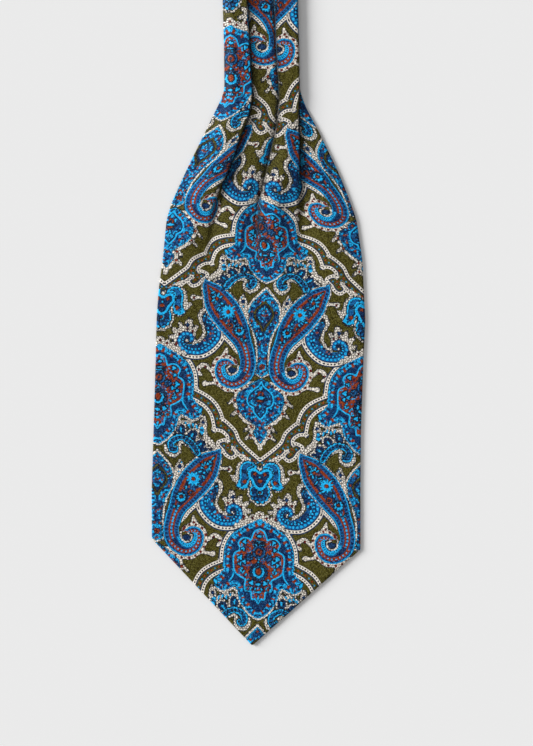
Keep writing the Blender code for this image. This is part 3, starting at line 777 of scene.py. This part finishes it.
    lay("cyan", petal(0, 19.6, 2.2, 1))
    lay("cyan", petal(0, 24.6, 0.9, 2.6))
    values = {**inks, **bands}
    for kind, row in rows.items():
        values.update({f"{kind}_{name}": field for name, field in row.items()})
    return values


# --- The silk --------------------------------------------------------------------------------------------
# Silk twill of filament yarn: fine slanting wales, a soft broad gloss, and printed inks that sink in, so the
# weave shows through them. Painted shade darkens it along the folds and in the deepest creases. The reverse
# is never seen, because every panel is lined by another.
OLIVE, NAVY, BLUE, CYAN = "#504b14", "#09335e", "#0f639c", "#1cb4ec"
RUST, MAROON, CREAM, LINE = "#8f3c14", "#6a2016", "#ebe4d9", "#0f1c2e"
TEAL = "#2787b0"  # every other dot of the trellis
CREAM_JOINT, PEBBLE_JOINT = "#5d574e", "#3f3a33"  # between the little cells of the pale inks
INK_COLOURS = {"blue": BLUE, "navy": NAVY, "cyan": CYAN, "rust": RUST, "maroon": MAROON}
FIELD_SETS = (
    ("cone_outer", "cone_inner", "cone_arc", "palmette_depth"),
    ("horn_outer", "horn_inner", "horn_arc", "palmette_arc"),
    ("blue", "navy", "cyan", "rust"),
    ("maroon", "cream", "pebble", "mosaic"),
    ("chain_gap", "chain_mask", "chain_arc", "loop_gap"),
    ("swag_gap", "swag_mask", "swag_arc", "loop_mask"),
    ("garden", "berries_gap", "berries_mask", "berries_arc"),
)
EDGE = 0.15  # half the width over which an ink's edge fades
TRAP = 0.18  # an ink stops this far inside its shape, so that a fine dark line parts it from its neighbour
RIM = 0.42  # and a group of shapes has a dark line this wide round it
PALE_RIM = 0.55  # and what is pale has one this wide
BLEED = 0.3  # the navy under a banded motif reaches this far outside it
WANDER = 1.5  # from the farthest in that an edge strays to the farthest out
KNOB = 1.9  # the pebbles' knobbly edges follow cells of this size

silk, silk_shader = new_material("printed silk twill")


def add(kind, links=(), **settings):
    """A node of the silk with its settings, whose inputs take the linked sockets or the plain values."""
    node = silk.node_tree.nodes.new(kind)
    for name, value in settings.items():
        setattr(node, name, value)
    for socket, source in dict(links).items():
        if isinstance(source, bpy.types.NodeSocket):
            silk.node_tree.links.new(source, node.inputs[socket])
        else:
            node.inputs[socket].default_value = source
    return node


def maths(operation, first, second=0.0):
    """The result of one sum on sockets or numbers."""
    return add("ShaderNodeMath", {0: first, 1: second}, operation=operation).outputs[0]


def ramp(field, low, high):
    """The share from 0 where a field is at low to 1 where it is at high, straight between them."""
    step = {"Value": field, "From Min": low, "From Max": high}
    return add("ShaderNodeMapRange", step, clamp=True).outputs["Result"]


def under(field, limit):
    """1 where a field is below the limit and 0 above it, with a soft step between."""
    return ramp(field, limit + EDGE, limit - EDGE)


def beyond(field, limit):
    """1 where a field is above the limit and 0 below it, with a soft step between."""
    return ramp(field, limit - EDGE, limit + EDGE)


def meet(first, *others):
    """The share where all the given shares hold: the least of them."""
    for other in others:
        first = maths("MINIMUM", first, other)
    return first


def between(field, low, high):
    """1 where a field lies between two limits."""
    return meet(beyond(field, low), under(field, high))


def over(below, share, ink):
    """The colour below with an ink, as a hex colour or a pattern of inks, laid on it by its share."""
    ink = ink if isinstance(ink, bpy.types.NodeSocket) else (*linear(ink), 1)
    return add("ShaderNodeMix", {"Factor": share, "A": below, "B": ink}, data_type="RGBA").outputs["Result"]


def plain(ink):
    """A colour to lay others on."""
    colour = add("ShaderNodeRGB").outputs[0]
    colour.default_value = (*linear(ink), 1)
    return colour


def dots(field, at, arc, pitch, radius, start=0.0):
    """The share of a row of round dots along the line where a field is at a value: the gap from that line
    and the place along the pitch are two legs of a triangle, whose long side is the distance from a dot."""
    gap = maths("SUBTRACT", field, at)
    place = maths("PINGPONG", maths("ADD", arc, start), pitch / 2)
    legs = maths("ADD", maths("MULTIPLY", gap, gap), maths("MULTIPLY", place, place))
    return under(maths("SQRT", legs), radius)


def squares(arc, half_pitch, half_gap):
    """The share of a row of squares along an arc, from half their pitch and half of the gap between them."""
    return beyond(maths("PINGPONG", arc, half_pitch), half_gap)


def flecks(place, cell, inks, ground, joint):
    """Little cells of ink on a ground, like a mosaic, parted by joints of the ground. Each cell draws a
    number from 0 to 1, and each ink lies on the cells that drew more than the number given with it."""
    settings = {"Vector": place, "Scale": 1 / cell, "Randomness": 0.9}
    cells = add("ShaderNodeTexVoronoi", settings, voronoi_dimensions="2D")
    edges = add("ShaderNodeTexVoronoi", settings, voronoi_dimensions="2D", feature="DISTANCE_TO_EDGE")
    drew = add("ShaderNodeSeparateColor", {"Color": cells.outputs["Color"]}).outputs["Red"]
    inside = beyond(maths("MULTIPLY", edges.outputs["Distance"], cell), joint)
    colour = plain(ground)
    for least, ink in inks:
        colour = over(colour, meet(inside, maths("GREATER_THAN", drew, least)), ink)
    return colour


fields = {}
for number, names in enumerate(FIELD_SETS):
    attribute = add("ShaderNodeAttribute", attribute_name=f"print_{number}")
    parts = add("ShaderNodeSeparateColor", {"Color": attribute.outputs["Color"]})
    fields.update(zip(names, [*parts.outputs, attribute.outputs["Alpha"]]))
# Millimetres of cloth, for everything that doesn't follow a motif.
uv = add("ShaderNodeUVMap", uv_map="cloth").outputs["UV"]
cloth = add("ShaderNodeVectorMath", {0: uv, 1: (1000, 1000, 1000)}, operation="MULTIPLY").outputs[0]
# The screens were cut by hand: every edge wanders by a fraction of a millimetre.
hand = add("ShaderNodeTexNoise", {"Vector": cloth, "Scale": 0.75, "Detail": 1.0}).outputs["Fac"]
wander = maths("SUBTRACT", maths("MULTIPLY", hand, WANDER), WANDER / 2)
for name in (*INK_COLOURS, "cream", "mosaic", "cone_outer", "cone_inner", "horn_outer", "horn_inner",
             "palmette_depth"):
    fields[name] = maths("ADD", fields[name], wander)
knobs = add("ShaderNodeTexVoronoi", {"Vector": cloth, "Scale": 1 / KNOB, "Randomness": 0.7},
            voronoi_dimensions="2D").outputs["Distance"]
pebble = maths("ADD", fields["pebble"], maths("SUBTRACT", maths("MULTIPLY", knobs, 1.3), 0.5))

# The inks in the order in which they are printed, each with the shares of the cloth that it keeps to.
layers = [(LINE, under(fields["cream"], PALE_RIM)), (LINE, under(pebble, PALE_RIM))]

# Horn: blue with two rows of cyan dots, and speckled along its inner edge.
outer, inner, arc = (fields[f"horn_{name}"] for name in ("outer", "inner", "arc"))
inside = beyond(maths("MINIMUM", outer, inner), -BLEED)
speckled = flecks(cloth, 1.9, ((0.5, BLUE), (0.8, CYAN), (0.92, RUST)), NAVY, 0.2)
layers += [
    (NAVY, inside),
    (BLUE, inside, between(outer, 0.3, 2.9)),
    (CYAN, inside, dots(outer, 1.7, arc, 2.6, 0.85)),
    (CYAN, inside, dots(outer, 4.2, arc, 2.6, 0.7, 1.3)),
    (speckled, inside, beyond(outer, 5.3)),
]

# Cone: a cyan line, a blue band with navy squares, a rust line that is wider round the bowl, and a speckled
# field. Its neck has a row of cyan dots, and its curl a dotted rust band and a cyan one with navy squares.
outer, inner, arc = (fields[f"cone_{name}"] for name in ("outer", "inner", "arc"))
deep = maths("MINIMUM", outer, inner)
inside = beyond(deep, -BLEED)
bowl, neck = under(arc, NECK_ARC), beyond(arc, NECK_ARC + 8)
body, curl = under(arc, CURL_ARC), beyond(arc, CURL_ARC)
middle = maths("MULTIPLY", maths("SUBTRACT", outer, inner), 0.5)
layers += [
    (NAVY, inside),
    (speckled, body, beyond(deep, 5.5)),
    (BLUE, between(deep, 0.3, 3.8)),
    (CYAN, between(deep, 0.3, 0.9)),
    (NAVY, between(deep, 1.4, 3.2), squares(arc, 1.25, 0.52)),
    (RUST, body, between(deep, 4.1, 5.5)),
    (RUST, bowl, between(deep, 4.1, 6.1)),
    (CYAN, body, neck, beyond(deep, 4.8), dots(middle, 0.0, arc, 2.6, 0.8)),
    (RUST, curl, inside, between(outer, 2.3, 4.8)),
    (CYAN, curl, inside, dots(outer, 3.5, arc, 2.6, 0.55)),
    (CYAN, curl, inside, beyond(outer, 4.5), between(inner, 0.3, 3)),
    (NAVY, curl, beyond(outer, 4.5), between(inner, 1, 2.3), squares(arc, 1.1, 0.6)),
]

# Palmette: a scaled blue fringe, a row of rust florets and cyan beads, and a navy band round its heart.
FLORET_PITCH = 7.43
FLORET_START = 3.13  # so that the corner under each lobe falls between two florets
depth, arc = fields["palmette_depth"], fields["palmette_arc"]
scaled = add("ShaderNodeCombineXYZ", {"X": arc, "Y": depth}).outputs[0]
layers += [
    (NAVY, beyond(depth, -BLEED)),
    (CYAN, beyond(depth, 0.15)),
    (flecks(scaled, 1.5, ((0.3, BLUE), (0.6, CYAN)), NAVY, 0.14), beyond(depth, 0.55)),
    (flecks(scaled, 1.1, ((0.78, BLUE),), NAVY, 0.2), beyond(depth, 4.1)),
    (NAVY, dots(depth, 3.5, arc, FLORET_PITCH, 1.9, FLORET_START)),
    (RUST, dots(depth, 3.5, arc, FLORET_PITCH, 1.4, FLORET_START)),
    (CYAN, dots(depth, 3.1, arc, FLORET_PITCH / 2, 0.85, FLORET_START + FLORET_PITCH / 4)),
]

# The small shapes, then what is pale, with its fine dark joints.
rims = meet(*(fields[name] for name in (*INK_COLOURS, "mosaic", "garden")))
mosaic = flecks(cloth, 1.45, ((0.3, BLUE), (0.6, CYAN), (0.93, RUST)), NAVY, 0.13)
garden = flecks(cloth, 1.5, ((0.5, NAVY), (0.74, BLUE), (0.88, CYAN)), RUST, 0.18)
layers += [
    (LINE, under(rims, RIM)),
    *((colour, under(fields[ink], -TRAP)) for ink, colour in INK_COLOURS.items()),
    (mosaic, under(fields["mosaic"], 0.0)),
    (garden, under(fields["garden"], -TRAP)),
    (flecks(cloth, 2.1, ((0.0, CREAM),), CREAM_JOINT, 0.17), under(fields["cream"], 0.0)),
    (flecks(cloth, 1.8, ((0.0, CREAM),), PEBBLE_JOINT, 0.22), under(pebble, 0.0)),
]

# Thin cyan lines, the cone's maroon berries, the beaded chains and the trellis' dots.
BERRY_PITCH, BEAD_PITCH, SWAG_PITCH = 5.2, 2.1, 3.2
looped, chained, swagged = (under(fields[f"{row}_mask"], HIDDEN - EDGE) for row in ("loop", "chain", "swag"))
gap = maths("ABSOLUTE", fields["chain_gap"])
arc = fields["swag_arc"]
odd = maths("GREATER_THAN", maths("PINGPONG", arc, SWAG_PITCH), SWAG_PITCH / 2)
layers += [
    (CYAN, looped, under(maths("ABSOLUTE", fields["loop_gap"]), 0.55)),
    (MAROON, under(fields["berries_mask"], 1.8),
     dots(fields["berries_gap"], 0.0, fields["berries_arc"], BERRY_PITCH, 1.0)),
    (NAVY, chained, between(fields["chain_gap"], 1.1, 2.0)),
    (LINE, chained, under(gap, 1.45)),
    (CREAM, chained, under(gap, 1.15)),
    (LINE, chained, dots(gap, 0.0, fields["chain_arc"], BEAD_PITCH, 0.6)),
    (RUST, swagged, dots(fields["swag_gap"], 0.0, arc, SWAG_PITCH, 0.78), odd),
    (TEAL, swagged, dots(fields["swag_gap"], 0.0, arc, SWAG_PITCH, 0.68), maths("SUBTRACT", 1.0, odd)),
]
colour = plain(OLIVE)
for ink, *shares in layers:
    colour = over(colour, meet(*shares), ink)

# The weave under the inks.
WALE = 1.1  # real wales are 0.25 mm apart; they are drawn this far apart so that they show
# A wave's bands lie 2 pi / (10 sqrt 2) apart at scale 1 where they run slanting.
wale_scale = math.pi / (5 * math.sqrt(2) * WALE)
wales = add("ShaderNodeTexWave", {"Vector": cloth, "Scale": wale_scale, "Distortion": 1.6, "Detail": 2.0,
                                  "Detail Scale": 2.0}, bands_direction="DIAGONAL").outputs["Fac"]
bump = add("ShaderNodeBump", {"Height": wales, "Strength": 0.4, "Distance": 0.0001})
# The wales and the uneven yarn lighten the colour, from three quarters of its strength upwards.
slubs = add("ShaderNodeTexNoise", {"Vector": cloth, "Scale": 0.9, "Detail": 2.0}).outputs["Fac"]
weave = maths("ADD", maths("MULTIPLY", wales, 0.15), maths("MULTIPLY", slubs, 0.4))
# Painted shade along the folds and in the deepest creases darkens the colour.
painted_fold_light = maths("SUBTRACT", 1.0, add("ShaderNodeAttribute", attribute_name="fold_shade").outputs["Fac"])
shade = maths("MULTIPLY", painted_fold_light, maths("ADD", weave, 0.75))
woven = add("ShaderNodeVectorMath", {0: colour, 1: shade}, operation="MULTIPLY").outputs[0]
# The yarn's floats catch the light unevenly: each is a little lighter or darker, by as much to the eye on
# dark inks as on pale ones, so they are added to the colour as the eye's own curve gives it.
FLOAT = 0.45  # real floats are about 0.3 mm long; they are drawn this long so that they show
GRAIN = 0.3  # from the darkest float to the lightest, where black to white is 1
EYE_CURVE = 2.2
DEPTH = 1.1  # the filaments deepen dark inks by this power, and pale ones hardly at all
floats = add("ShaderNodeTexVoronoi", {"Vector": cloth, "Scale": 1 / FLOAT}, voronoi_dimensions="2D")
light = add("ShaderNodeSeparateColor", {"Color": floats.outputs["Color"]}).outputs["Red"]
grain = maths("MULTIPLY", maths("SUBTRACT", light, 0.5), GRAIN)
seen = add("ShaderNodeGamma", {"Color": woven, "Gamma": DEPTH / EYE_CURVE}).outputs[0]
seen = add("ShaderNodeVectorMath", {0: seen, 1: grain}, operation="ADD").outputs[0]
seen = add("ShaderNodeVectorMath", {0: seen, 1: (0, 0, 0)}, operation="MAXIMUM").outputs[0]
grained = add("ShaderNodeGamma", {"Color": seen, "Gamma": EYE_CURVE}).outputs[0]
silk.node_tree.links.new(grained, silk_shader.inputs["Base Color"])
silk.node_tree.links.new(bump.outputs["Normal"], silk_shader.inputs["Normal"])
silk_shader.inputs["Roughness"].default_value = 0.6
silk_shader.inputs["Specular IOR Level"].default_value = 0.12

# --- The panels ------------------------------------------------------------------------------------------
# Four panels of the same silk: a pleated face and a plain back at each end. Each is a thin closed shell on
# the mid-line of its solid. The under side of a shell has every fourth point of its upper side.
SHELL = 0.5  # its thickness, half of the solid's
UNDER_STEP = 4
NECK_FROM = 476.0  # from here on the rows may lie further apart
POINT_GAP = 0.4  # the panel's end is cut square this far up from the point


def quads(grid):
    """The faces between a grid's neighbouring points, anticlockwise."""
    corners = [grid[:-1, :-1], grid[:-1, 1:], grid[1:, 1:], grid[1:, :-1]]
    return np.stack(corners, axis=-1).reshape(-1, 4)


def shell(name, across, along, height, print_across, from_point, shade):
    """A closed thin shell round a grid of points, with the print's fields, the painted fold shade and a UV
    map in metres of cloth. The two sides lie half the shell's thickness along the grid's normals from the
    mid-surface."""
    middle = np.stack([across, along, height], axis=-1)
    normal = np.cross(np.gradient(middle, axis=1), np.gradient(middle, axis=0))
    normal /= np.linalg.norm(normal, axis=-1, keepdims=True) + 1e-12
    upper, lower = middle + normal * SHELL / 2, middle - normal * SHELL / 2
    rows, columns = (np.unique(np.append(np.arange(0, n, UNDER_STEP), n - 1)) for n in across.shape)
    grid = np.arange(across.size).reshape(across.shape)
    under_grid = np.arange(len(rows) * len(columns)).reshape(len(rows), len(columns)) + grid.size
    points = np.vstack([upper.reshape(-1, 3), lower[np.ix_(rows, columns)].reshape(-1, 3)])
    faces = quads(grid).tolist() + quads(under_grid)[:, [0, 3, 2, 1]].tolist()
    # Round the edge, each face joins one step of the under side to the finer steps above it.
    for fine, coarse, places in (
        (grid[0, ::-1], under_grid[0, ::-1], grid.shape[1] - 1 - columns[::-1]),
        (grid[-1], under_grid[-1], columns),
        (grid[:, 0], under_grid[:, 0], rows),
        (grid[::-1, -1], under_grid[::-1, -1], grid.shape[0] - 1 - rows[::-1]),
    ):
        for i, (start, end) in enumerate(zip(places, places[1:])):
            faces.append([*fine[start:end + 1].tolist(), int(coarse[i + 1]), int(coarse[i])])
    piece = new_mesh(name, points, faces, silk)
    mesh = piece.data
    mesh.validate()
    mesh.shade_smooth()
    mesh.set_sharp_from_angle(angle=math.radians(60))
    print_across, from_point, shade = (
        np.append(side, side[np.ix_(rows, columns)]) for side in (print_across, from_point, shade))
    values = printed(print_across, from_point)
    layer = mesh.attributes.new("fold_shade", "FLOAT", "POINT")
    layer.data.foreach_set("value", shade.astype(np.float32))
    for number, names in enumerate(FIELD_SETS):
        layer = mesh.attributes.new(f"print_{number}", "FLOAT_COLOR", "POINT")
        four = np.column_stack([values[name] for name in names])
        layer.data.foreach_set("color", four.astype(np.float32).ravel())
    corners = np.empty(len(mesh.loops), np.int32)
    mesh.loops.foreach_get("vertex_index", corners)
    uv = np.column_stack([print_across, from_point])[corners] * MM
    mesh.uv_layers.new(name="cloth").data.foreach_set("uv", uv.astype(np.float32).ravel())
    return piece


def stations(step, neck_step):
    """Distances of a panel's rows from its point, with a wider step in the neckband, which is alike all
    along."""
    last = END_LENGTH - SEAM_GAP / 2
    neck = np.linspace(NECK_FROM, last, int((last - NECK_FROM) / neck_step))
    return np.append(np.arange(POINT_GAP, NECK_FROM, step), neck)


BASE = SOLID_WALL + LAYER_GAP + SOLID_WALL / 2  # height of the face's mid-surface where it lies flat
BEND_STEPS = 3  # in each of a pleat's two arcs
face_rows = stations(0.98, 2.3)
face_counts = ((33, 42, 24, 44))
across, height, print_across, print_from_point, shade = panel_form(face_rows, face_counts, BEND_STEPS)
along = np.broadcast_to((face_rows - END_LENGTH)[:, None], across.shape)

# The back is one plain panel that follows the face's outline a little inside it, flat on the table.
BACK_INSET = 0.8
BACK_STEP = 1.7
BACK_COLUMNS = 90
LEAST_WIDTH = 0.2  # at the point, where the inset leaves nothing of the panel
back_rows = stations(BACK_STEP, BACK_STEP) + BACK_INSET
back_rows = back_rows[back_rows < END_LENGTH - SEAM_GAP / 2]
back_form = panel_form(back_rows, face_counts, BEND_STEPS)[0]
back_left, back_right = back_form.min(axis=1) + BACK_INSET, back_form.max(axis=1) - BACK_INSET
back_width = np.maximum(back_right - back_left, LEAST_WIDTH)[:, None]
back_across = back_left[:, None] + back_width * even(BACK_COLUMNS)
back_along = np.broadcast_to((back_rows - END_LENGTH)[:, None], back_across.shape)
back_height = np.full_like(back_across, SHELL / 2)
back_from_point = np.broadcast_to(back_rows[:, None], back_across.shape)
back_shade = np.zeros_like(back_across)

for end, turn in (("front", 1), ("rear", -1)):
    back = shell(f"{end}_back", turn * back_across, turn * back_along, back_height, back_across,
                 back_from_point, back_shade)
    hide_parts(f"{end}_end_back")
    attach(back, "root")
    face = shell(f"{end}_face", turn * across, turn * along, height + BASE, print_across, print_from_point,
                 shade)
    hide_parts(f"{end}_end_face")
    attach(face, "root")
